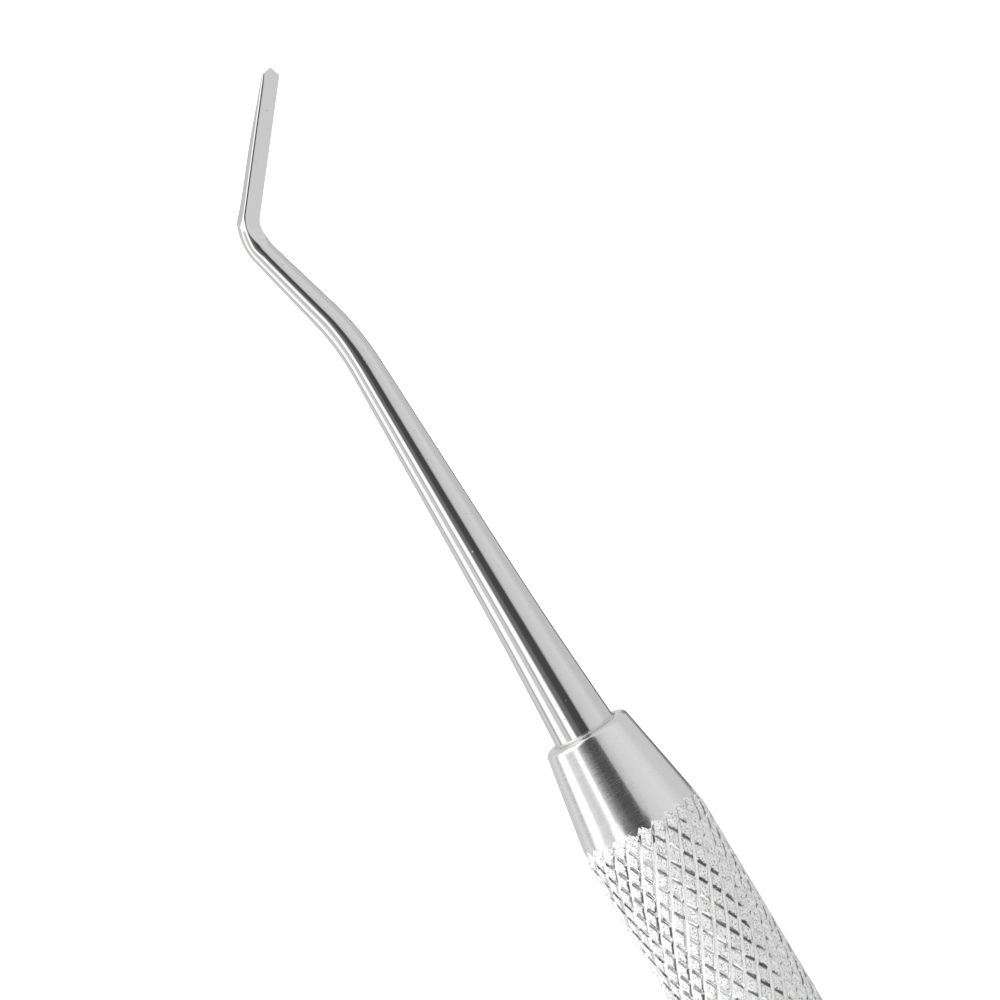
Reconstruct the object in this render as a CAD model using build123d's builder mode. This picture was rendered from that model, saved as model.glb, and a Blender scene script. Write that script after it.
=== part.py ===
"""Dental root-tip elevator: a one-piece steel working end brazed into a hollow knurled handle.

Frame, in millimetres: +X runs along the handle, from the working end to the rear. The origin is on
the handle's axis, at the middle of the knurled grip. The shank is bent in the XY plane, with its
heel towards -Y and its tip towards +Y, and the flat face of the blade looks up, along +Z.
"""
import math
import os

from build123d import *

# Handle: a knurled tube with a turned nose cone
grip_diameter = 9.5
grip_length = 88.0
cone_length = 8.65
cone_tip_diameter = 6.45
cone_edge_radius = 0.35
bore_diameter = 7.5
drill_point_length = 2.2
solid_nose_length = 14.5
tube_end_chamfer = 0.2

# Joint between the working end and the nose
seat_diameter = 4.66
seat_depth = 2.0
tang_diameter = 3.2
tang_length = 11.0
tang_chamfer = 0.4
vent_flat_depth = 0.25
braze_leg = 0.22

# Rear plug: a turned cone with a spigot pressed into the tube
spigot_length = 6.0
spigot_chamfer = 0.4
dome_height = 1.2

# Shank, from the nose face to the corner of the heel
straight_length = 32.83
neck_length = 10.58
neck_angle = 15.25
neck_bend_radius = 18.7
neck_start_diameter = 2.34
heel_diameter = 1.8
heel_bend_radius = 3.5
# distance in front of the nose face, and the diameter there
shank_taper = [(3.0, 4.31), (8.6, 3.72), (14.4, 3.3), (22.9, 2.79)]

# Blade: the bent bar ground flat on four sides, measured from the corner of the heel
blade_angle = 42.6
blade_length = 12.21
face_height = 0.66
face_runout_start = -0.85
face_runout_end = 0.6
outer_flat = 0.67
inner_flat = 0.61
inner_blend_radius = 1.4
apex_offset = 0.18
outer_shoulder = 0.6
inner_shoulder = 0.42
edge_thickness = 0.08
back_runout_start = -0.8
# distance from the heel, and the thickness of the blade there
blade_thickness = [(1.8, 0.96), (6.8, 0.79), (9.6, 0.49), (11.4, 0.28)]
waste = 3.0


def bearing(degrees):
    """Unit vector in the XY plane, turned from -X towards +Y."""
    angle = math.radians(degrees)
    return Vector(-math.cos(angle), math.sin(angle), 0)


nose_x = -(grip_length / 2 + cone_length)
rear_x = grip_length / 2
grip_radius = grip_diameter / 2
cone_tip_radius = cone_tip_diameter / 2
bore_radius = bore_diameter / 2
seat_radius = seat_diameter / 2
tang_radius = tang_diameter / 2
tang_end_x = nose_x + seat_depth + tang_length
heel_radius = heel_diameter / 2

neck_corner = Vector(nose_x - straight_length, 0, 0)
neck_direction = bearing(-neck_angle)
heel_corner = neck_corner + neck_direction * neck_length
neck_tangent = neck_bend_radius * math.tan(math.radians(neck_angle / 2))
heel_turn = neck_angle + blade_angle
heel_tangent = heel_bend_radius * math.tan(math.radians(heel_turn / 2))
bend_start = neck_corner + Vector(neck_tangent, 0, 0)
neck_end = heel_corner - neck_direction * heel_tangent
blade_direction = bearing(blade_angle)
bar_start = heel_corner + blade_direction * heel_tangent
heel_centre = neck_end + bearing(90 - neck_angle) * heel_bend_radius

# Plane of the face: local x to the tip, local y to the outside of the bend
outline_plane = Plane(origin=heel_corner, x_dir=blade_direction, z_dir=(0, 0, 1))
# Plane of the blade's side view: local x to the tip, local y up
side_plane = Plane(origin=heel_corner, x_dir=blade_direction, z_dir=-outline_plane.y_dir)

# Inside of the heel, in the outline plane: where the ground flat would meet the neck's inner line
turn = math.radians(heel_turn)
inner_corner = heel_radius * math.sin(turn) - (inner_flat - heel_radius * math.cos(turn)) / math.tan(turn)
inner_tangent = inner_blend_radius * math.tan(turn / 2)
inner_blend_end = (
    inner_corner - inner_tangent * math.cos(turn),
    -inner_flat - inner_tangent * math.sin(turn),
)
clear_of_neck = (inner_blend_end[0] - 0.4 * waste, inner_blend_end[1] - waste)


with BuildPart() as working_end:
    # Straight tapered shank, with its seat and tang
    with BuildSketch(Plane.XY):
        with BuildLine():
            taper_points = [(nose_x - distance, width / 2) for distance, width in reversed(shank_taper)]
            Spline(
                (bend_start.X, neck_start_diameter / 2),
                *taper_points,
                (nose_x - braze_leg, seat_radius),
            )
            Polyline(
                (nose_x - braze_leg, seat_radius),
                (nose_x + seat_depth, seat_radius),
                (nose_x + seat_depth, tang_radius),
                (tang_end_x - tang_chamfer, tang_radius),
                (tang_end_x, tang_radius - tang_chamfer),
                (tang_end_x, 0),
                (bend_start.X, 0),
                (bend_start.X, neck_start_diameter / 2),
            )
        make_face()
    revolve(axis=Axis.X)

    # Flat along the tang, which lets the trapped air out of the socket
    with BuildSketch(Plane.YZ.offset(nose_x + seat_depth)):
        with Locations((0, tang_radius)):
            Rectangle(tang_diameter, 2 * vent_flat_depth)
    extrude(amount=tang_length, mode=Mode.SUBTRACT)

    # Tapered neck: a long bend, then a straight run to the heel
    with BuildLine() as neck_path:
        long_bend = TangentArc(
            bend_start, neck_corner + neck_direction * neck_tangent, tangent=(-1, 0, 0)
        )
        Line(long_bend @ 1, neck_end)
    with BuildSketch(Plane(origin=bend_start, z_dir=(-1, 0, 0))):
        Circle(neck_start_diameter / 2)
    with BuildSketch(Plane(origin=neck_end, z_dir=neck_direction)):
        Circle(heel_radius)
    sweep(path=neck_path.line, multisection=True)

    # Heel, and the bar that the blade is ground from
    with BuildSketch(Plane(origin=neck_end, z_dir=neck_direction)):
        Circle(heel_radius)
    revolve(axis=Axis(heel_centre, (0, 0, -1)), revolution_arc=heel_turn)
    with BuildSketch(Plane(origin=bar_start, z_dir=blade_direction)):
        Circle(heel_radius)
    extrude(amount=blade_length - heel_tangent)

    # Flat face, with a rounded run-out over the heel
    with BuildSketch(side_plane):
        with BuildLine():
            Polyline(
                (face_runout_end, face_height),
                (blade_length + waste, face_height),
                (blade_length + waste, waste),
                (face_runout_start, waste),
                (face_runout_start, heel_radius),
            )
            TangentArc(
                (face_runout_end, face_height), (face_runout_start, heel_radius), tangent=(-1, 0)
            )
        make_face()
    extrude(amount=waste, both=True, mode=Mode.SUBTRACT)

    # Tapered back, which thins the blade to its edge
    with BuildSketch(side_plane):
        with BuildLine():
            back_edge = (blade_length, face_height - edge_thickness)
            Spline(
                (back_runout_start, -heel_radius),
                *[(distance, face_height - depth) for distance, depth in blade_thickness],
                back_edge,
            )
            Polyline(
                back_edge,
                (blade_length + waste, face_height - edge_thickness),
                (blade_length + waste, -waste),
                (back_runout_start, -waste),
                (back_runout_start, -heel_radius),
            )
        make_face()
    extrude(amount=waste, both=True, mode=Mode.SUBTRACT)

    # Outer side and the outer half of the point
    with BuildSketch(outline_plane):
        Polygon(
            (0, outer_flat),
            (blade_length - outer_shoulder, outer_flat),
            (blade_length, apex_offset),
            (blade_length + waste, apex_offset),
            (blade_length + waste, waste),
            (0, waste),
            align=None,
        )
    extrude(amount=waste, both=True, mode=Mode.SUBTRACT)

    # Inner side, blended into the inside of the heel, and the inner half of the point
    with BuildSketch(outline_plane):
        with BuildLine():
            flat_start = (inner_corner + inner_tangent, -inner_flat)
            TangentArc(flat_start, inner_blend_end, tangent=(-1, 0))
            Polyline(
                flat_start,
                (blade_length - inner_shoulder, -inner_flat),
                (blade_length, apex_offset),
                (blade_length + waste, apex_offset),
                (blade_length + waste, clear_of_neck[1]),
                clear_of_neck,
                inner_blend_end,
            )
        make_face()
    extrude(amount=waste, both=True, mode=Mode.SUBTRACT)


with BuildPart() as handle_body:
    with BuildSketch(Plane.XY):
        Polygon(
            (nose_x, 0),
            (nose_x, cone_tip_radius),
            (nose_x + cone_length, grip_radius),
            (rear_x - tube_end_chamfer, grip_radius),
            (rear_x, grip_radius - tube_end_chamfer),
            (rear_x, 0),
            align=None,
        )
    revolve(axis=Axis.X)
    nose_edge = handle_body.edges().filter_by(GeomType.CIRCLE).sort_by(Axis.X)[0]
    fillet(nose_edge, radius=cone_edge_radius)

    # Seat for the shank, socket for the tang, and the bore from the rear with its drill point
    with BuildSketch(Plane.XY):
        Polygon(
            (nose_x, 0),
            (nose_x, seat_radius),
            (nose_x + seat_depth, seat_radius),
            (nose_x + seat_depth, tang_radius),
            (nose_x + solid_nose_length, tang_radius),
            (nose_x + solid_nose_length + drill_point_length, bore_radius),
            (rear_x, bore_radius),
            (rear_x, 0),
            align=None,
        )
    revolve(axis=Axis.X, mode=Mode.SUBTRACT)


with BuildPart() as front_braze_ring:
    # Fillet of filler metal in the corner between the shank and the nose face
    with BuildSketch(Plane.XY):
        with BuildLine():
            on_shank = (nose_x - braze_leg, seat_radius)
            on_nose = (nose_x, seat_radius + braze_leg)
            Polyline(on_nose, (nose_x, seat_radius), on_shank)
            RadiusArc(on_shank, on_nose, -2 * braze_leg)
        make_face()
    revolve(axis=Axis.X)


with BuildPart() as rear_plug:
    # Spigot, cone and shallow domed end
    cone_end_x = rear_x + cone_length
    dome_end_x = cone_end_x + dome_height
    dome_radius = (cone_tip_radius**2 + dome_height**2) / (2 * dome_height)
    with BuildSketch(Plane.XY) as plug_profile:
        with BuildLine():
            Polyline(
                (dome_end_x, 0),
                (rear_x - spigot_length, 0),
                (rear_x - spigot_length, bore_radius - spigot_chamfer),
                (rear_x - spigot_length + spigot_chamfer, bore_radius),
                (rear_x, bore_radius),
                (rear_x, grip_radius - tube_end_chamfer),
                (rear_x + tube_end_chamfer, grip_radius),
                (cone_end_x, cone_tip_radius),
            )
            RadiusArc((cone_end_x, cone_tip_radius), (dome_end_x, 0), dome_radius)
        make_face()
        dome_corner = plug_profile.vertices().sort_by(Axis.X)[-2]
        fillet(dome_corner, radius=cone_edge_radius)
    revolve(axis=Axis.X)


os.makedirs("parts", exist_ok=True)

working_end.part.label = "working_end"
export_step(working_end.part, "parts/working_end.step")

handle_body.part.label = "handle_body"
export_step(handle_body.part, "parts/handle_body.step")

front_braze_ring.part.label = "front_braze_ring"
export_step(front_braze_ring.part, "parts/front_braze_ring.step")

rear_plug.part.label = "rear_plug"
export_step(rear_plug.part, "parts/rear_plug.step")
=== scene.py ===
"""Looks of the dental elevator: polished working end, knurled handle, braze ring and rear plug.

Lengths are in millimetres until a mesh is made, and then in metres. The frame is the part's own:
+X to the rear of the handle, +Z up, the tip towards -X and +Y.
"""

import math

import bmesh
import bpy
import numpy as np
from mathutils import Matrix, Vector, noise


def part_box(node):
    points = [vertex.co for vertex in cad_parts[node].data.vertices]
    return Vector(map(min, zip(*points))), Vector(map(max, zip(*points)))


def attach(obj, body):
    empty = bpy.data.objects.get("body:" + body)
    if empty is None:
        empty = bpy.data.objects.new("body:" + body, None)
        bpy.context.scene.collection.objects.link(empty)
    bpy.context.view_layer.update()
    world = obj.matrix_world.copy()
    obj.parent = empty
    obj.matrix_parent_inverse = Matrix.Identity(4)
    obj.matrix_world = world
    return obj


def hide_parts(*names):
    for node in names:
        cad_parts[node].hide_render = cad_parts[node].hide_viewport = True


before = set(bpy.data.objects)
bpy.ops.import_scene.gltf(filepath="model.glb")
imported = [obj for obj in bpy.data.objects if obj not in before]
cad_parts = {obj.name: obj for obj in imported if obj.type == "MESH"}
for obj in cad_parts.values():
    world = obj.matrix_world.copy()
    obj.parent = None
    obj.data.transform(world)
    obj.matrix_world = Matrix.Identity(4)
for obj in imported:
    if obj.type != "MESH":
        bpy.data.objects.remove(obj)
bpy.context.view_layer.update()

MM = 0.001
handle_low, handle_high = (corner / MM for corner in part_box("handle_body"))
plug_low, plug_high = (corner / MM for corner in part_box("rear_plug"))
working_end_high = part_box("working_end")[1] / MM
ring_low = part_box("front_braze_ring")[0] / MM

nose_x = handle_low.x
rear_x = handle_high.x
grip_radius = handle_high.z
seat_radius = working_end_high.z
braze_leg = nose_x - ring_low.x
tang_end_x = working_end_high.x

# Handle
cone_length = 8.65
cone_start_x = nose_x + cone_length
cone_tip_radius = 3.225
cone_slope = (grip_radius - cone_tip_radius) / cone_length
nose_edge_radius = 0.45
edge_steps = 8
end_chamfer = 0.2
seat_depth = 2.0
tang_radius = 1.6
socket_depth = 14.5
drill_point = 2.2
bore_radius = 3.75
cone_ring_gaps = (0.6, 1.8, 3.4, 5.0, 5.5)  # ahead of the knurl, the last just behind the nose's edge

# Knurl: a deep and a shallow set of grooves that cross, with raised diamonds between them
knurl_starts = 26
knurl_rows = 84
runout_margin = 2.527  # how far the sheet reaches over the cone, ahead of the grip
knurl_turn = -0.0167   # radians about the axis
groove_depth = 0.2
shallow_share = 0.69   # depth of the shallow set, as a share of the deep one's
unevenness = 0.2       # of the grooves' depth, as a share of it
wear_depth = 0.012
edge_waver = 0.06
uneven_detail, wear_detail, waver_detail = 1.7, 2.3, 3.1  # 1/mm
straight_rows = 0.5    # at each end of the sheet, where the lines stay straight
# across one groove and one diamond: share of the pitch, and share of the depth there
knurl_profile = [(0.07, 1.0), (0.14, 0.4), (0.24, 0.0), (0.76, 0.0), (0.86, 0.4), (0.93, 1.0)]
# how far each of those lines is moved, in pitches, which makes one side of a groove the steeper one
deep_shift = np.array([0.01, -0.03, -0.10, -0.032, -0.019, 0.01])
shallow_shift = np.array([-0.04, -0.07, -0.13, -0.06, -0.052, 0.04])
blasted_margin = 1.0   # how far the coarse blasting reaches over the cone, ahead of the grip

# Shank and blade, where the blade's places are distances from the heel's corner towards the tip
straight_length = 32.83
neck_length = 10.58
neck_angle = math.radians(15.25)
neck_bend_radius = 18.7
neck_start_radius = 1.17
bar_radius = 0.9
heel_bend_radius = 3.5
shank_taper = [(3.0, 2.155), (8.6, 1.86), (14.4, 1.65), (22.9, 1.395)]  # distance ahead of the nose, radius
tang_chamfer = 0.4
vent_flat_depth = 0.25
blade_angle = math.radians(42.6)
blade_length = 12.21
face_height = 0.66           # over the bar's middle
face_runout = (-0.45, 0.6)   # where the face comes out of the bar, and where it is flat
outer_flat = 0.67            # from the bar's middle, as for the inner one
inner_flat = 0.61
outer_runout = 0.8           # how far the outer flat moves out of the bar at the heel
outer_runout_span = (0.4, -1.0)
inner_blend_radius = 1.4
apex_offset = 0.18
outer_shoulder = 0.6
inner_shoulder = 0.42
edge_thickness = 0.08
back_runout = -0.8
back_runout_slope = 0.3
blade_thickness = [(1.8, 0.96), (6.8, 0.79), (9.6, 0.49), (11.4, 0.28)]  # place, thickness
edge_ease = 0.035
outer_edge_ease = 0.22
runout_ease = 0.15
runout_span = (0.2, -1.1)    # over which the edges grow soft towards the heel
tip_ease = 0.04
tip_ease_length = 1.6
ground_neck = 2.4            # end of the neck that the grinding may touch
centring_length = 2.0        # over which the sections' middle moves from the bar's to the blade's
smallest_section = 0.02


# ---------------------------------------------------------------- meshes
def piece(name, vertices, faces, materials, face_materials=None, sharp_angle=30):
    """A mesh object, in metres, that rides on the one body."""
    mesh = bpy.data.meshes.new(name)
    mesh.from_pydata((np.asarray(vertices) * MM).tolist(), [], [list(map(int, f)) for f in faces])
    for material in materials:
        mesh.materials.append(material)
    if face_materials is not None:
        mesh.polygons.foreach_set("material_index", np.asarray(face_materials, np.int32))
    mesh.polygons.foreach_set("use_smooth", np.ones(len(mesh.polygons), bool))
    mesh.set_sharp_from_angle(angle=math.radians(sharp_angle))
    mesh.update()
    shape = bpy.data.objects.new(name, mesh)
    bpy.context.scene.collection.objects.link(shape)
    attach(shape, "root")
    return shape


def ring_faces(first, second):
    """Quads between two closed rings of vertex numbers."""
    following = [(i + 1) % len(first) for i in range(len(first))]
    return [(first[i], first[j], second[j], second[i]) for i, j in enumerate(following)]


def lathe(profile, angles):
    """Vertices and faces of a profile [(x, radius), ...] turned about X. A radius of 0 makes a point."""
    vertices, rings = [], []
    for x, radius in profile:
        start = len(vertices)
        if radius == 0:
            vertices.append((x, 0, 0))
            rings.append([start] * len(angles))
        else:
            vertices += [(x, radius * math.cos(a), radius * math.sin(a)) for a in angles]
            rings.append(list(range(start, start + len(angles))))
    faces = []
    for first, second in zip(rings, rings[1:]):
        faces += [list(dict.fromkeys(quad)) for quad in ring_faces(first, second)]
    return vertices, faces


def arc(centre, radius, start, end, steps):
    """Points on an arc, in degrees from +x towards +radius."""
    turns = [math.radians(start + (end - start) * i / steps) for i in range(steps + 1)]
    return [(centre[0] + radius * math.cos(t), centre[1] + radius * math.sin(t)) for t in turns]


# ---------------------------------------------------------------- handle
pitch = 2 * math.pi * grip_radius / knurl_starts
row_length = (rear_x - cone_start_x + runout_margin) / knurl_rows
knurl_x = cone_start_x - runout_margin
profile_steps = len(knurl_profile)
profile_places, profile_depths = (np.array(column) for column in zip(*knurl_profile))
full_turn = 2 * knurl_starts
hair = 1e-6
noise.seed_set(1)  # noise_vector takes its offsets from it


def line_place(k):
    """Place in pitches of the k-th mesh line across one set of grooves."""
    return k // profile_steps + profile_places[k % profile_steps]


def knurl_sheet():
    """Vertices (x, y, z) and triangles of the knurled surface, from the run-out to the rear end.

    Lines u of the deep set and v of the shallow one cross at u + v rows along and v - u half pitches round.
    """
    steps = profile_steps
    turn = knurl_starts * steps
    low, high = -knurl_starts * steps, (knurl_rows // 2 + knurl_starts + 1) * steps
    count = high - low
    ku, kv = np.meshgrid(np.arange(low, high), np.arange(low, high), indexing="ij")
    u, v = line_place(ku), line_place(kv)
    along, around = u + v, v - u
    one_turn = (around > -hair) & (around < full_turn - hair)
    inside = (along > -hair) & (along < knurl_rows + hair) & one_turn
    number = np.full((count, count), -1)
    number[inside] = np.arange(inside.sum())

    loose = (along[inside] > straight_rows) & (along[inside] < knurl_rows - straight_rows)
    shift_u = np.where(loose, deep_shift[ku[inside] % steps], 0)
    shift_v = np.where(loose, shallow_shift[kv[inside] % steps], 0)
    x = knurl_x + (along[inside] + shift_u + shift_v) * row_length
    angle = (around[inside] + shift_v - shift_u) * pitch / 2 / grip_radius + knurl_turn
    depth_u, depth_v = profile_depths[ku[inside] % steps], profile_depths[kv[inside] % steps]
    depth = np.maximum(depth_u, depth_v * shallow_share) * groove_depth
    place = [Vector(p) for p in zip(x, grip_radius * np.cos(angle), grip_radius * np.sin(angle))]
    wear_offset, waver_offset = Vector((40, 0, 0)), Vector((0, 80, 0))
    uneven = np.array([noise.noise(p * uneven_detail) for p in place])
    wear = np.array([noise.noise(p * wear_detail + wear_offset) for p in place])
    waver = np.array([noise.noise_vector(p * waver_detail + waver_offset) for p in place]) * edge_waver
    x = x + np.where(loose, waver[:, 0], 0)
    angle = angle + np.where(loose, waver[:, 1], 0) / grip_radius
    radius = grip_radius - depth * (1 + unevenness * uneven) - wear_depth * (0.5 + 0.5 * wear)
    vertices = np.stack([x, radius * np.cos(angle), radius * np.sin(angle)], 1)

    def find(i, j):
        """Vertex numbers at lines i and j, where one turn round the handle comes back to the start."""
        width = line_place(j) - line_place(i)
        wrap = np.where(width < -hair, -1, np.where(width > full_turn - hair, 1, 0))
        i, j = i + wrap * turn - low, j - wrap * turn - low
        safe = (i >= 0) & (j >= 0) & (i < count) & (j < count)
        return np.where(safe, number[np.clip(i, 0, count - 1), np.clip(j, 0, count - 1)], -1)

    # cells that start a little ahead of the sheet can still have three corners on it
    near = (along > -1.5) & (along < knurl_rows + 0.5) & one_turn
    i, j = ku[near], kv[near]
    a, b, c, d = find(i, j), find(i + 1, j), find(i + 1, j + 1), find(i, j + 1)
    # the diagonal follows the mitre where two grooves' sides meet
    slope = np.sign(np.roll(profile_depths, -1) - profile_depths)
    same_side = slope[i % steps] * slope[j % steps] > 0
    halves = [
        ((a, b, c), same_side),
        ((a, c, d), same_side),
        ((a, b, d), ~same_side),
        ((b, c, d), ~same_side),
    ]
    triangles = []
    for corners, chosen in halves:
        rows = np.stack(corners, 1)[chosen]
        triangles.append(rows[(rows >= 0).all(1)])
    return vertices, np.concatenate(triangles)


def radius_of(vertex):
    return math.hypot(vertex.co.y, vertex.co.z)


def front_limit(x):
    """Radius of the cone and the grip."""
    return min(cone_tip_radius + cone_slope * (x - nose_x), grip_radius)


def rear_limit(x):
    """Radius of the grip and its rear chamfer."""
    return grip_radius - max(0.0, x - (rear_x - end_chamfer))


def turn_down(bm, limit):
    """Cuts the surface back to a turned one: limit gives its radius at x."""
    touching = 1e-4
    over = {v: radius_of(v) - limit(v.co.x) for v in bm.verts}
    crossing = [e for e in bm.edges if over[e.verts[0]] * over[e.verts[1]] < 0]
    shares = {e: over[e.verts[0]] / (over[e.verts[0]] - over[e.verts[1]]) for e in crossing}
    made = bmesh.ops.bisect_edges(bm, edges=crossing, cuts=1, edge_percents=shares)
    cut = [g for g in made["geom_split"] if isinstance(g, bmesh.types.BMVert)]
    bmesh.ops.connect_verts(bm, verts=cut, check_degenerate=False)
    for v in bm.verts:
        most, now = limit(v.co.x), radius_of(v)
        if now > most - touching:
            v.co.y *= most / now
            v.co.z *= most / now


def knurled_surface(bm):
    """Puts the knurled sheet in bm, turned down to the cone and the chamfer. Bare cone is material 1."""
    vertices, triangles = knurl_sheet()
    made = [bm.verts.new(v) for v in vertices]
    for t in triangles:
        bm.faces.new([made[k] for k in t])
    turn_down(bm, front_limit)
    turn_down(bm, rear_limit)
    flush = 2e-4
    for f in bm.faces:
        centre = f.calc_center_median()
        lowest = min(radius_of(v) - min(front_limit(v.co.x), rear_limit(v.co.x)) for v in f.verts)
        on_cone = centre.x < cone_start_x - blasted_margin and lowest > -flush
        f.material_index = 1 if on_cone else 0


def edge_ring(bm, x):
    """Vertices of the open edge at x, in order round the axis."""
    close = 1e-3
    edge = [v for v in bm.verts if v.is_boundary and abs(v.co.x - x) < close]
    return sorted(edge, key=lambda v: math.atan2(v.co.z, v.co.y))


def handle_outline():
    """Points (x, radius) from the run-out round the nose, through seat and socket, and along the bore."""
    tilt = math.degrees(math.atan(cone_slope))
    easing = nose_edge_radius
    edge_centre_radius = cone_tip_radius + cone_slope * easing - easing / math.cos(math.radians(tilt))
    cone = [(knurl_x - gap, front_limit(knurl_x - gap)) for gap in cone_ring_gaps]
    edge = arc((nose_x + easing, edge_centre_radius), easing, 90 + tilt, 180, edge_steps)
    return cone + edge + [
        (nose_x, seat_radius + 2 * braze_leg),
        (nose_x, seat_radius),
        (nose_x + seat_depth, seat_radius),
        (nose_x + seat_depth, tang_radius),
        (nose_x + socket_depth, tang_radius),
        (nose_x + socket_depth + drill_point, bore_radius),
        (rear_x, bore_radius),
    ]


def make_handle(knurled, turned):
    bm = bmesh.new()
    knurled_surface(bm)
    ring, rear = edge_ring(bm, knurl_x), edge_ring(bm, rear_x)
    angles = [math.atan2(v.co.z, v.co.y) for v in ring]
    for x, radius in handle_outline():
        following = [bm.verts.new((x, radius * math.cos(a), radius * math.sin(a))) for a in angles]
        for quad in ring_faces(ring, following):
            bm.faces.new(quad).material_index = 1
        ring = following
    bore_edges = [bm.edges.get((ring[i], ring[(i + 1) % len(ring)])) for i in range(len(ring))]
    rear_edges = [bm.edges.get((rear[i], rear[(i + 1) % len(rear)])) for i in range(len(rear))]
    made = bmesh.ops.bridge_loops(bm, edges=[e for e in bore_edges + rear_edges if e])
    for f in made["faces"]:
        f.material_index = 1
    bmesh.ops.triangulate(bm, faces=[f for f in bm.faces if len(f.verts) > 4])
    bmesh.ops.recalc_face_normals(bm, faces=bm.faces[:])
    bm.verts.index_update()
    points = [tuple(v.co) for v in bm.verts]
    faces = [[v.index for v in f.verts] for f in bm.faces]
    which = [f.material_index for f in bm.faces]
    below = [min(front_limit(v.co.x), rear_limit(v.co.x)) - radius_of(v) for v in bm.verts]
    bm.free()
    handle = piece("knurled_handle", points, faces, [knurled, turned], which, sharp_angle=24)
    attribute = handle.data.attributes.new("below", "FLOAT", "POINT")
    attribute.data.foreach_set("value", below)
    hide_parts("handle_body")


# ---------------------------------------------------------------- working end
up = np.array([0.0, 0.0, 1.0])


def bearing(angle):
    """Unit vector in the XY plane, turned from -X towards +Y."""
    return np.array([-math.cos(angle), math.sin(angle), 0.0])


neck_corner = np.array([nose_x - straight_length, 0, 0])
neck_direction = bearing(-neck_angle)
heel_corner = neck_corner + neck_direction * neck_length
neck_tangent = neck_bend_radius * math.tan(neck_angle / 2)
heel_turn = neck_angle + blade_angle
heel_tangent = heel_bend_radius * math.tan(heel_turn / 2)
blade_direction = bearing(blade_angle)
outward = np.cross(up, blade_direction)


def smooth_curve(points, x):
    """A smooth curve through the points, by cubic pieces with averaged slopes."""
    px, py = (np.array(column, float) for column in zip(*sorted(points)))
    steps = np.diff(py) / np.diff(px)
    slopes = np.concatenate([[steps[0]], (steps[:-1] + steps[1:]) / 2, [steps[-1]]])
    i = np.clip(np.searchsorted(px, x) - 1, 0, len(px) - 2)
    width = px[i + 1] - px[i]
    t = (x - px[i]) / width
    first = py[i] * (1 + 2 * t) * (1 - t) ** 2 + slopes[i] * width * t * (1 - t) ** 2
    return first + py[i + 1] * t * t * (3 - 2 * t) - slopes[i + 1] * width * t * t * (1 - t)


def straight_radius(ahead):
    """Radius of the straight shank, by distance ahead of the nose."""
    ends = [(braze_leg, seat_radius), (straight_length - neck_tangent, neck_start_radius)]
    return smooth_curve(shank_taper + ends, ahead)


def face_surface(u):
    """Height of the ground face over the bar, with its rounded run-out over the heel."""
    start, end = face_runout
    run = end - start
    rise = bar_radius - face_height
    easing = (run**2 + rise**2) / (2 * rise)
    back = np.clip(end - u, 0, easing)
    return face_height + easing - np.sqrt(easing**2 - back**2)


def smooth_step(low, high, x):
    share = np.clip((x - low) / (high - low), 0, 1)
    return share * share * (3 - 2 * share)


def runout_rounding(u, rounding):
    """A rounding that grows soft towards the face's run-out over the heel."""
    return rounding + (runout_ease - rounding) * smooth_step(*runout_span, u)


def outer_rounding(u):
    """Rounding of the face's outer edge, keener towards the point."""
    full = smooth_step(blade_length, blade_length - tip_ease_length, u)
    return tip_ease + (outer_edge_ease - tip_ease) * full


back_curve = [(back_runout, -bar_radius), (blade_length, face_height - edge_thickness)]
back_curve += [(u, face_height - depth) for u, depth in blade_thickness]
inner_corner = bar_radius * math.sin(heel_turn) - (
    inner_flat - bar_radius * math.cos(heel_turn)
) / math.tan(heel_turn)
inner_tangent = inner_blend_radius * math.tan(heel_turn / 2)


def rounded_join(a, b, ease):
    """The solid that is inside both a and b, with the edge between them rounded."""
    corner = np.sqrt(np.clip(a + ease, 0, None) ** 2 + np.clip(b + ease, 0, None) ** 2)
    return np.minimum(-ease, np.maximum(a, b)) + corner


def ground_bar(points, bar):
    """How far points are outside the ground heel and blade, from how far they are outside the round bar."""
    from_corner = points - heel_corner
    u, v, z = from_corner @ blade_direction, from_corner @ outward, points[..., 2]
    side = v - outer_flat - outer_runout * smooth_step(*outer_runout_span, u)
    solid = rounded_join(z - face_surface(u), side, runout_rounding(u, outer_rounding(u)))
    solid = rounded_join(bar, solid, runout_rounding(u, edge_ease))
    back = smooth_curve(back_curve, np.clip(u, back_runout, blade_length)) - z
    solid = rounded_join(solid, back - back_runout_slope * np.clip(back_runout - u, 0, None), edge_ease)
    # inner side: a flat, then an arc round to the neck's inner line
    blend_u, blend_v = inner_corner + inner_tangent, -inner_flat - inner_blend_radius
    inside_arc = inner_blend_radius - np.hypot(u - blend_u, v - blend_v)
    inner = np.where(u > blend_u, -inner_flat - v, inside_arc)
    well_inside = -1.0
    inner = np.where((u < blend_u) & (v < blend_v), well_inside, inner)
    solid = rounded_join(solid, inner, edge_ease)
    # the two shoulders of the point
    for side, shoulder in ((outer_flat, outer_shoulder), (-inner_flat, inner_shoulder)):
        run = np.array([shoulder, apex_offset - side])
        run /= np.linalg.norm(run)
        across = np.array([abs(run[1]), run[0] * np.sign(side - apex_offset)])
        slope = (u - blade_length) * across[0] + (v - apex_offset) * across[1]
        solid = rounded_join(solid, slope, edge_ease / 2)
    return solid


shank_cuts, neck_bend_cuts, neck_cuts, heel_cuts, blade_cuts, point_cuts = 70, 30, 40, 70, 60, 36
point_crowding = 1.5  # draws the point's sections closer together towards its end


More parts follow.
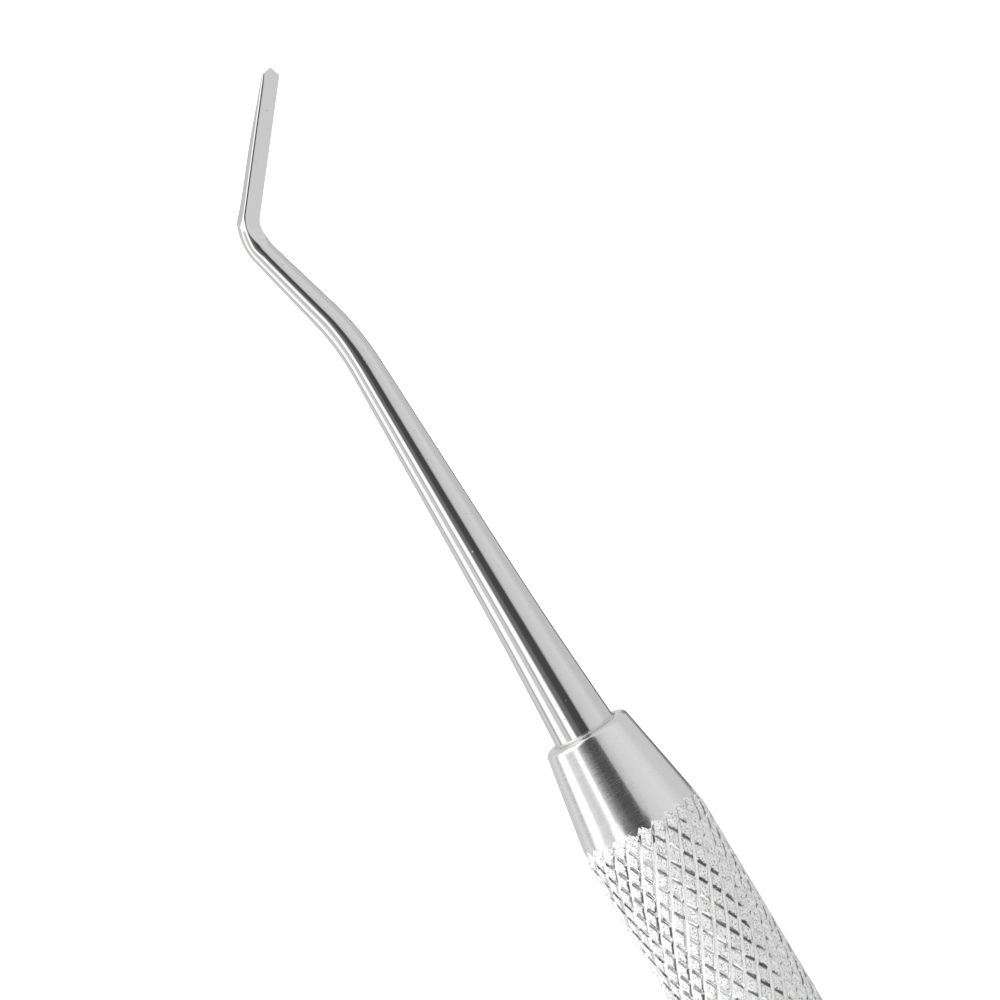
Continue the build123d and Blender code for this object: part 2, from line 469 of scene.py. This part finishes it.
def stations():
    """Sections along the working end: centre, direction, bar radius, and the place on the blade or None."""
    found = []
    bend_x = straight_length - neck_tangent
    for ahead in np.linspace(braze_leg, bend_x, shank_cuts)[:-1]:
        centre = np.array([nose_x - ahead, 0, 0])
        found.append((centre, bearing(0), float(straight_radius(ahead)), None))
    neck_run = neck_length - neck_tangent - heel_tangent
    bend_run = neck_bend_radius * neck_angle
    narrowing = bar_radius - neck_start_radius

    def neck_radius(run):
        return neck_start_radius + narrowing * run / (bend_run + neck_run)

    bend_centre = np.array([nose_x - bend_x, -neck_bend_radius, 0])
    for turn in np.linspace(0, neck_angle, neck_bend_cuts)[:-1]:
        centre = bend_centre + neck_bend_radius * np.array([-math.sin(turn), math.cos(turn), 0])
        found.append((centre, bearing(-turn), neck_radius(turn * neck_bend_radius), None))
    for run in np.linspace(0, neck_run, neck_cuts)[:-1]:
        centre = neck_corner + neck_direction * (neck_tangent + run)
        place = None if run < neck_run - ground_neck else 0.0
        found.append((centre, neck_direction, neck_radius(bend_run + run), place))
    heel_centre = heel_corner + blade_direction * heel_tangent - outward * heel_bend_radius
    for turn in np.linspace(-neck_angle, blade_angle, heel_cuts)[:-1]:
        direction = bearing(turn)
        centre = heel_centre + np.cross(up, direction) * heel_bend_radius
        found.append((centre, direction, bar_radius, 0.0))
    body = np.linspace(heel_tangent, blade_length - outer_shoulder, blade_cuts)[:-1]
    left = 1 - np.linspace(0, 1, point_cuts)[:-1]
    point = blade_length - outer_shoulder * left**point_crowding
    for u in np.concatenate([body, point]):
        found.append((heel_corner + blade_direction * u, blade_direction, bar_radius, float(u)))
    return found


section_count = 144
fine_count = 1440
halvings = 34
no_length = 1e-9
corner_share = 0.8  # how much of the points' spacing follows the turning of the outline


def section(centre, direction, radius, place):
    """Points round one section of the working end, closer together at its corners."""
    across = np.cross(up, direction)
    turns = np.linspace(-math.pi / 2, 1.5 * math.pi, fine_count, endpoint=False)
    rays = np.cos(turns)[:, None] * across + np.sin(turns)[:, None] * up
    middle = centre
    if place is not None:
        share = min(max((place - heel_tangent) / centring_length, 0.0), 1.0)
        back = float(smooth_curve(back_curve, np.array([max(place, back_runout)]))[0])
        rise = share * share * (3 - 2 * share) * (face_height + back) / 2
        lean = apex_offset * min(max(1 - (blade_length - place) / outer_shoulder, 0.0), 1.0)
        middle = centre + up * rise + across * lean
    if place is None:
        reach = np.full(fine_count, radius)
    else:
        low, high = np.zeros(fine_count), np.full(fine_count, 2.0 * radius)
        for _ in range(halvings):
            half = (low + high) / 2
            points = middle + rays * half[:, None]
            away = points - centre
            bar = np.hypot(away @ across, away[:, 2]) - radius
            outside = ground_bar(points, bar) > 0
            low, high = np.where(outside, low, half), np.where(outside, half, high)
        reach = (low + high) / 2
    points = middle + rays * reach[:, None]
    steps = np.roll(points, -1, 0) - points
    lengths = np.linalg.norm(steps, axis=1)
    units = steps / np.maximum(lengths, no_length)[:, None]
    cosine = np.clip((units * np.roll(units, 1, 0)).sum(1), -1, 1)
    measure = lengths / lengths.sum() + corner_share * np.arccos(cosine) / (2 * math.pi)
    measure = np.concatenate([[0], np.cumsum(measure)])
    wanted = np.arange(section_count) / section_count * measure[-1]
    places = np.interp(wanted, measure, np.arange(fine_count + 1))
    whole = places.astype(int) % fine_count
    part = (places - places.astype(int))[:, None]
    return points[whole] * (1 - part) + points[(whole + 1) % fine_count] * part


def make_working_end(material):
    vertices, lay, rings = [], [], []
    run, before = 0.0, None
    for centre, direction, radius, place in stations():
        points = section(centre, direction, radius, place)
        if np.ptp(points, axis=0).max() < smallest_section:
            break
        run += 0.0 if before is None else float(np.linalg.norm(centre - before))
        before = centre
        across = np.cross(up, direction)
        away = points - centre
        rings.append(list(range(len(vertices), len(vertices) + section_count)))
        vertices += points.tolist()
        lay += np.stack([np.full(section_count, run), away @ across, away[:, 2]], 1).tolist()
    faces = []
    for first, second in zip(rings, rings[1:]):
        faces += ring_faces(first, second)
    tip = np.mean(vertices[-section_count:], axis=0) + blade_direction * smallest_section / 4
    vertices.append(tip.tolist())
    lay.append([run, 0, 0])
    end = len(vertices) - 1
    faces += [(a, b, end) for a, b in zip(rings[-1], rings[-1][1:] + rings[-1][:1])]

    # seat and tang, inside the handle
    turns = [-math.pi / 2 + 2 * math.pi * i / section_count for i in range(section_count)]
    tang = [
        (nose_x + seat_depth, seat_radius),
        (nose_x + seat_depth, tang_radius),
        (tang_end_x - tang_chamfer, tang_radius),
        (tang_end_x, tang_radius - tang_chamfer),
        (tang_end_x, 0),
    ]
    ring = rings[0]
    for x, radius in tang:
        if radius == 0:
            vertices.append([x, 0, 0])
            lay.append([0, 0, 0])
            last = len(vertices) - 1
            faces += [(b, a, last) for a, b in zip(ring, ring[1:] + ring[:1])]
            continue
        following = list(range(len(vertices), len(vertices) + section_count))
        for t in turns:
            y, z = -radius * math.cos(t), radius * math.sin(t)
            if radius <= tang_radius:
                y = min(y, tang_radius - vent_flat_depth)
            vertices.append([x, y, z])
            lay.append([nose_x - x, y, z])
        faces += ring_faces(following, ring)
        ring = following
    shape = piece("polished_working_end", vertices, faces, [material], sharp_angle=32)
    attribute = shape.data.attributes.new("lay", "FLOAT_VECTOR", "POINT")
    attribute.data.foreach_set("vector", np.asarray(lay, np.float32).ravel())
    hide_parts("working_end")


# ---------------------------------------------------------------- ring and plug
def even_angles(count):
    return [2 * math.pi * i / count for i in range(count)]


def make_braze_ring(material):
    """A fillet with a slightly hollow face between the nose and the shank."""
    sides, steps, hollow = 144, 8, 0.12
    inner, outer = seat_radius, seat_radius + braze_leg
    profile = [(nose_x, inner)]
    for i in range(steps + 1):
        t = i / steps
        bow = hollow * braze_leg * 4 * t * (1 - t)
        profile.append((nose_x - t * braze_leg + bow, outer - t * braze_leg - bow))
    vertices, faces = lathe(profile, even_angles(sides))
    first = list(range(sides))
    last = list(range(len(vertices) - sides, len(vertices)))
    faces += ring_faces(last, first)
    shape = piece("braze_fillet", vertices, [f[::-1] for f in faces], [material], sharp_angle=40)
    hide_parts("front_braze_ring")


def make_rear_plug(material):
    """A spigot in the bore, and behind it a cone with a low domed end."""
    sides, dome_steps, rounds = 192, 12, 30
    spigot_chamfer, dome_height = 0.4, 1.2
    spigot_x = plug_low.x
    cone_end = plug_high.x - dome_height
    dome_radius = (cone_tip_radius**2 + dome_height**2) / (2 * dome_height)
    dome_x = plug_high.x - dome_radius
    tilt = math.atan(cone_slope)
    # easing between the cone and the dome: its centre is one easing inside both
    easing = nose_edge_radius
    inner_dome = dome_radius - easing
    guess = cone_tip_radius - easing
    for _ in range(rounds):
        centre_x = dome_x + math.sqrt(inner_dome**2 - guess**2)
        guess = cone_tip_radius + cone_slope * (cone_end - centre_x) - easing / math.cos(tilt)
    from_dome = math.degrees(math.atan2(guess, centre_x - dome_x))
    edge = arc((centre_x, guess), easing, 90 - math.degrees(tilt), from_dome, edge_steps)
    profile = [
        (spigot_x, 0),
        (spigot_x, bore_radius - spigot_chamfer),
        (spigot_x + spigot_chamfer, bore_radius),
        (rear_x, bore_radius),
        (rear_x, grip_radius - end_chamfer),
        (rear_x + end_chamfer, grip_radius - cone_slope * end_chamfer),
    ]
    for t in (0.2, 0.5, 0.8):
        profile.append((rear_x + cone_length * t, grip_radius - cone_slope * cone_length * t))
    profile += edge
    profile += arc((dome_x, 0), dome_radius, from_dome, 0, dome_steps)[1:-1]
    profile += [(plug_high.x, 0)]
    vertices, faces = lathe(profile, even_angles(sides))
    shape = piece("turned_rear_plug", vertices, faces, [material], sharp_angle=25)
    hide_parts("rear_plug")


# ---------------------------------------------------------------- materials
class NodeTree:
    """A short way to build the nodes of a material or of the world."""

    def __init__(self, tree):
        self.tree = tree

    def add(self, kind, **settings):
        node = self.tree.nodes.new(kind)
        for name, value in settings.items():
            setattr(node, name, value)
        return node

    def link(self, source, target):
        self.tree.links.new(source, target)

    def math(self, operation, a, b):
        node = self.add("ShaderNodeMath", operation=operation)
        for socket, value in zip(node.inputs, (a, b)):
            if isinstance(value, (int, float)):
                socket.default_value = value
            else:
                self.link(value, socket)
        return node.outputs[0]

    def fit(self, value, low, high, to_low, to_high, step="SMOOTHSTEP"):
        """The value from low to high, turned into one from to_low to to_high, and held there outside."""
        node = self.add("ShaderNodeMapRange", interpolation_type=step)
        self.link(value, node.inputs["Value"])
        ends = {"From Min": low, "From Max": high, "To Min": to_low, "To Max": to_high}
        for name, number in ends.items():
            node.inputs[name].default_value = number
        return node.outputs["Result"]


class MaterialNodes(NodeTree):
    """The nodes of a new material, round its principled shader."""

    def __init__(self, name):
        self.material = bpy.data.materials.new(name)
        self.material.use_nodes = True
        super().__init__(self.material.node_tree)
        self.shader = self.tree.nodes["Principled BSDF"]
        self.place = self.add("ShaderNodeTexCoord").outputs["Object"]

    def scaled(self, scale, source=None):
        """Coordinates multiplied by scale, along each axis."""
        node = self.add("ShaderNodeVectorMath", operation="MULTIPLY")
        self.link(source or self.place, node.inputs[0])
        node.inputs[1].default_value = scale
        return node.outputs["Vector"]

    def noise(self, place, detail=2.0, roughness=0.5):
        node = self.add("ShaderNodeTexNoise")
        self.link(place, node.inputs["Vector"])
        node.inputs["Scale"].default_value = 1.0
        node.inputs["Detail"].default_value = detail
        node.inputs["Roughness"].default_value = roughness
        return node.outputs["Fac"]

    def bump(self, height, distance, under=None):
        """Bump, with the height's whole range worth distance in mm."""
        node = self.add("ShaderNodeBump")
        node.inputs["Strength"].default_value = 1.0
        node.inputs["Distance"].default_value = distance * MM
        self.link(height, node.inputs["Height"])
        if under is not None:
            self.link(under, node.inputs["Normal"])
        return node.outputs["Normal"]

    def tint(self, value, dark, light):
        """A colour between dark, where the value is 0, and light, where it is 1."""
        node = self.add("ShaderNodeMix", data_type="RGBA")
        self.link(value, node.inputs[0])
        node.inputs[6].default_value = (*dark, 1)
        node.inputs[7].default_value = (*light, 1)
        return node.outputs[2]

    def finish(self, colour, roughness, normal):
        """Ends a metal, and returns its material."""
        self.shader.inputs["Metallic"].default_value = 1.0
        self.link(colour, self.shader.inputs["Base Color"])
        self.link(roughness, self.shader.inputs["Roughness"])
        self.link(normal, self.shader.inputs["Normal"])
        return self.material


def per_mm(x, y, z):
    """Scale for the object's own coordinates, from a detail in 1/mm along each axis."""
    return (x / MM, y / MM, z / MM)


def polished_steel():
    """Mirror polish, with faint lines along the shank and a few tiny pits."""
    n = MaterialNodes("polished_steel")
    lay = n.add("ShaderNodeAttribute", attribute_name="lay").outputs["Vector"]
    lines = n.noise(n.scaled((0.12, 5.0, 5.0), lay), detail=3)
    cells = n.add("ShaderNodeTexVoronoi")
    n.link(n.scaled((3.2, 3.2, 3.2), lay), cells.inputs["Vector"])
    cells.inputs["Scale"].default_value = 1.0
    chance = n.fit(cells.outputs["Color"], 0.80, 0.84, 0.0, 1.0)
    pit = n.math("MULTIPLY", n.fit(cells.outputs["Distance"], 0.10, 0.22, 1.0, 0.0), chance)
    normal = n.bump(lines, 0.0012)
    normal = n.bump(n.math("MULTIPLY", pit, -1.0), 0.02, under=normal)
    colour = n.tint(lines, (0.79, 0.79, 0.785), (0.83, 0.83, 0.83))
    roughness = n.fit(lines, 0.3, 0.8, 0.045, 0.085)
    return n.finish(colour, roughness, normal)


def turned_steel(name="turned_steel"):
    """Fine turning marks round the axis."""
    n = MaterialNodes(name)
    marks = n.noise(n.scaled(per_mm(26.0, 0.9, 0.9)), detail=4, roughness=0.65)
    grain = n.noise(n.scaled(per_mm(40.0, 3.0, 3.0)), detail=2)
    from_marks, from_grain = n.fit(marks, 0.35, 0.75, 0.14, 0.30), n.fit(grain, 0.55, 0.75, 0.0, 0.12)
    roughness = n.math("ADD", from_marks, from_grain)
    normal = n.bump(marks, 0.0032)
    normal = n.bump(grain, 0.003, under=normal)
    colour = n.tint(marks, (0.85, 0.85, 0.85), (0.94, 0.94, 0.94))
    return n.finish(colour, roughness, normal)


def knurled_steel():
    """Diamonds with a coarse blasted top and torn edges, between smooth rolled grooves."""
    n = MaterialNodes("knurled_steel")
    below = n.add("ShaderNodeAttribute", attribute_name="below").outputs["Fac"]
    torn = n.noise(n.scaled(per_mm(6.0, 6.0, 6.0)), detail=2, roughness=0.6)
    ragged = n.math("ADD", below, n.fit(torn, 0.35, 0.65, -0.03, 0.03))
    top = n.fit(ragged, 0.022, 0.05, 1.0, 0.0)
    above_bottom = n.fit(below, 0.168, 0.18, 1.0, 0.0)
    flank = n.math("MULTIPLY", n.fit(ragged, 0.022, 0.05, 0.0, 1.0), above_bottom)
    speckle = n.noise(n.scaled(per_mm(12.0, 12.0, 12.0)), detail=1, roughness=0.6)
    chips = n.noise(n.scaled(per_mm(5.0, 5.0, 5.0)), detail=1)
    coarse = n.noise(n.scaled(per_mm(2.2, 2.2, 2.2)), detail=2)
    roughness = n.math("ADD", n.fit(top, 0, 1, 0.14, 0.5), n.fit(speckle, 0.4, 0.7, 0.0, 0.08))
    rough_height = n.math("MULTIPLY", speckle, n.fit(top, 0, 1, 0.04, 1.0))
    chip_height = n.math("MULTIPLY", n.fit(chips, 0.58, 0.64, 0.0, 1.0), top)
    normal = n.bump(rough_height, 0.07)
    normal = n.bump(chip_height, 0.03, under=normal)
    normal = n.bump(coarse, 0.018, under=normal)
    clean = n.math("MAXIMUM", n.fit(speckle, 0.33, 0.45, 0.0, 1.0), n.fit(top, 0, 1, 0.8, 0))
    colour = n.tint(clean, (0.1, 0.1, 0.1), (1.0, 1.0, 1.0))
    # the flanks are bare metal, and the tops and bottoms scatter light like a matt surface
    n.link(n.fit(flank, 0, 1, 0.34, 1.0), n.shader.inputs["Metallic"])
    return n.finish(colour, roughness, normal)


def braze_filler():
    """Silver filler, a little duller than the steel."""
    n = MaterialNodes("braze_filler")
    flow = n.noise(n.scaled(per_mm(4.0, 4.0, 4.0)), detail=3)
    colour = n.tint(flow, (0.68, 0.68, 0.675), (0.80, 0.80, 0.795))
    return n.finish(colour, n.fit(flow, 0.3, 0.7, 0.2, 0.36), n.bump(flow, 0.01))


def pale_floor():
    """Matt white, bright enough to stay plain under the object."""
    n = MaterialNodes("pale_floor")
    mottle = n.noise(n.scaled((6.0, 6.0, 6.0)), detail=3)
    n.link(n.tint(mottle, (0.90, 0.90, 0.90), (0.92, 0.92, 0.92)), n.shader.inputs["Base Color"])
    n.shader.inputs["Roughness"].default_value = 1.0
    n.shader.inputs["Specular IOR Level"].default_value = 0.0
    n.shader.inputs["Emission Color"].default_value = (1, 1, 1, 1)
    n.shader.inputs["Emission Strength"].default_value = 0.8
    return n.material


knurled, turned, polished = knurled_steel(), turned_steel(), polished_steel()
make_handle(knurled, turned)
make_working_end(polished)
make_braze_ring(braze_filler())
make_rear_plug(turned_steel("satin_steel"))


# ---------------------------------------------------------------- camera
tilt_to_outside = math.radians(25.0)   # from straight above, towards the outside of the heel
tilt_to_tip = math.radians(7.5)
roll = math.radians(30.95)
frame_width = 71.174                   # of the handle's plane that the picture takes in
camera_distance = 1500.0
centre_from_nose = (-6.028, -16.456)   # from the nose to the picture's centre, right and down
sensor = 36.0

x_axis, z_axis = np.array([1.0, 0, 0]), np.array([0, 0, 1.0])
square_on = z_axis * math.cos(tilt_to_outside) - np.array([0, 1.0, 0]) * math.sin(tilt_to_outside)
to_camera = square_on * math.cos(tilt_to_tip) - x_axis * math.sin(tilt_to_tip)
handle_axis = x_axis * math.cos(tilt_to_tip) + square_on * math.sin(tilt_to_tip)
side = np.cross(to_camera, handle_axis)
image_right = math.sin(roll) * handle_axis + math.cos(roll) * side
image_down = math.cos(roll) * handle_axis - math.sin(roll) * side
target = np.array([nose_x, 0, 0]) + centre_from_nose[0] * image_right + centre_from_nose[1] * image_down

camera_data = bpy.data.cameras.new("camera")
camera_data.sensor_width = sensor
camera_data.lens = camera_distance * sensor / frame_width
camera = bpy.data.objects.new("camera", camera_data)
camera_axes = Matrix(np.stack([image_right, -image_down, to_camera], 1).tolist()).to_4x4()
camera.matrix_world = Matrix.Translation(Vector((target + to_camera * camera_distance) * MM)) @ camera_axes
bpy.context.scene.collection.objects.link(camera)
bpy.context.scene.camera = camera


# ---------------------------------------------------------------- floor and light
floor_reach, floor_z = 10.0, handle_low.z * MM  # m
floor_signs = ((-1, -1), (1, -1), (1, 1), (-1, 1))
floor_corners = [(x * floor_reach, y * floor_reach, floor_z) for x, y in floor_signs]
floor_mesh = bpy.data.meshes.new("floor")
floor_mesh.from_pydata(floor_corners, [], [(0, 1, 2, 3)])
floor_mesh.materials.append(pale_floor())
floor = bpy.data.objects.new("floor", floor_mesh)
floor.visible_glossy = False
floor.visible_shadow = False
bpy.context.scene.collection.objects.link(floor)

sun_strength, sun_spread, sun_lean = 2.05, math.radians(60), math.radians(42)
sun_data = bpy.data.lights.new("side_light", "SUN")
sun_data.energy = sun_strength
sun_data.angle = sun_spread
sun = bpy.data.objects.new("side_light", sun_data)
sun.visible_glossy = False
sun.rotation_euler = (sun_lean, 0, 0)
bpy.context.scene.collection.objects.link(sun)

# The studio round the object: soft strips along the handle, by angle round it from the camera's side.
# Positive angles turn to the right of the picture, (angle in degrees, brightness)
studio = [
    (-180, 0.66), (-150, 0.64), (-140, 0.64), (-126, 0.76), (-118, 0.76), (-113, 0.48),
    (-107, 0.48), (-102, 1.22), (-82, 1.22), (-77, 0.70), (-64, 0.72), (-60, 0.50), (-57, 0.50),
    (-52, 1.28), (-39, 1.28), (-32, 0.20), (-18, 0.17), (-12, 0.075), (13, 0.065), (21, 0.60),
    (30, 0.68), (72, 0.77), (100, 0.63), (142, 0.62), (149, 0.18), (165, 0.18), (172, 0.60),
    (180, 0.66),
]
# The strips run parallel to the handle, but light from its rear meets them turned aside: by slant per
# unit of the direction's X beyond slant_from, counted up to slant_reach. Round the handle this grows
# from nothing at slant_none to the whole at slant_full.
slant_from, slant_reach, slant = 0.15, 0.22, math.radians(100)
slant_none, slant_full = math.radians(-100), math.radians(-10)
# A white panel on the left and a grey wall behind on the right, for light from past the tip. Each edge
# is soft, and given as the values where it starts and where it is full.
past_tip_edge = (-0.28, -0.36)
panel_right, panel_left = np.radians((-36, -42)), np.radians((-114, -106))
wall_edge, wall_brightness = np.radians((125, 138)), 0.64
backdrop_colour = (0.98, 0.98, 0.98, 1)
brightest = max(brightness for _, brightness in studio)

world = bpy.data.worlds.new("studio")
bpy.context.scene.world = world
world.use_nodes = True
sky = NodeTree(world.node_tree)
sky.tree.nodes.clear()
direction = sky.add("ShaderNodeTexCoord").outputs["Generated"]


def along_axis(axis):
    """How far the light's direction points along an axis."""
    dot = sky.add("ShaderNodeVectorMath", operation="DOT_PRODUCT")
    sky.link(direction, dot.inputs[0])
    dot.inputs[1].default_value = axis
    return dot.outputs["Value"]


ahead, sideways = along_axis(square_on), along_axis(np.cross(square_on, x_axis))
rearward = along_axis(x_axis)
beyond = sky.math("MAXIMUM", sky.math("SUBTRACT", rearward, slant_from), 0.0)
beyond = sky.math("MINIMUM", beyond, slant_reach)
turn = sky.math("ARCTAN2", sideways, ahead)
leaning = sky.fit(turn, slant_none, slant_full, 0.0, slant, step="LINEAR")
turn = sky.math("SUBTRACT", turn, sky.math("MULTIPLY", beyond, leaning))
strips = sky.add("ShaderNodeValToRGB")
sky.link(sky.fit(turn, -math.pi, math.pi, 0.0, 1.0, step="LINEAR"), strips.inputs["Fac"])
ramp = strips.color_ramp
while len(ramp.elements) < len(studio):
    ramp.elements.new(0.5)
for element, (angle, brightness) in zip(ramp.elements, studio):
    element.position = (angle + 180) / 360
    element.color = (*[brightness / brightest] * 3, 1)

past_tip = sky.fit(rearward, *past_tip_edge, 0.0, 1.0)
panel = sky.math("MULTIPLY", sky.fit(turn, *panel_right, 0.0, 1.0), sky.fit(turn, *panel_left, 0.0, 1.0))
wall = sky.math("MULTIPLY", sky.fit(turn, *wall_edge, 0.0, 1.0), wall_brightness / brightest)
screens = sky.math("MULTIPLY", past_tip, sky.math("MAXIMUM", panel, wall))
lighter = sky.add("ShaderNodeMix", data_type="RGBA", blend_type="LIGHTEN")
lighter.inputs[0].default_value = 1.0
sky.link(strips.outputs["Color"], lighter.inputs[6])
sky.link(screens, lighter.inputs[7])
lit = sky.add("ShaderNodeBackground")
lit.inputs["Strength"].default_value = brightest
sky.link(lighter.outputs[2], lit.inputs["Color"])
backdrop = sky.add("ShaderNodeBackground")
backdrop.inputs["Color"].default_value = backdrop_colour
seen = sky.add("ShaderNodeLightPath")
choose = sky.add("ShaderNodeMixShader")
sky.link(seen.outputs["Is Camera Ray"], choose.inputs[0])
sky.link(lit.outputs[0], choose.inputs[1])
sky.link(backdrop.outputs[0], choose.inputs[2])
sky.link(choose.outputs[0], sky.add("ShaderNodeOutputWorld").inputs["Surface"])

bpy.context.scene.view_settings.view_transform = "Standard"
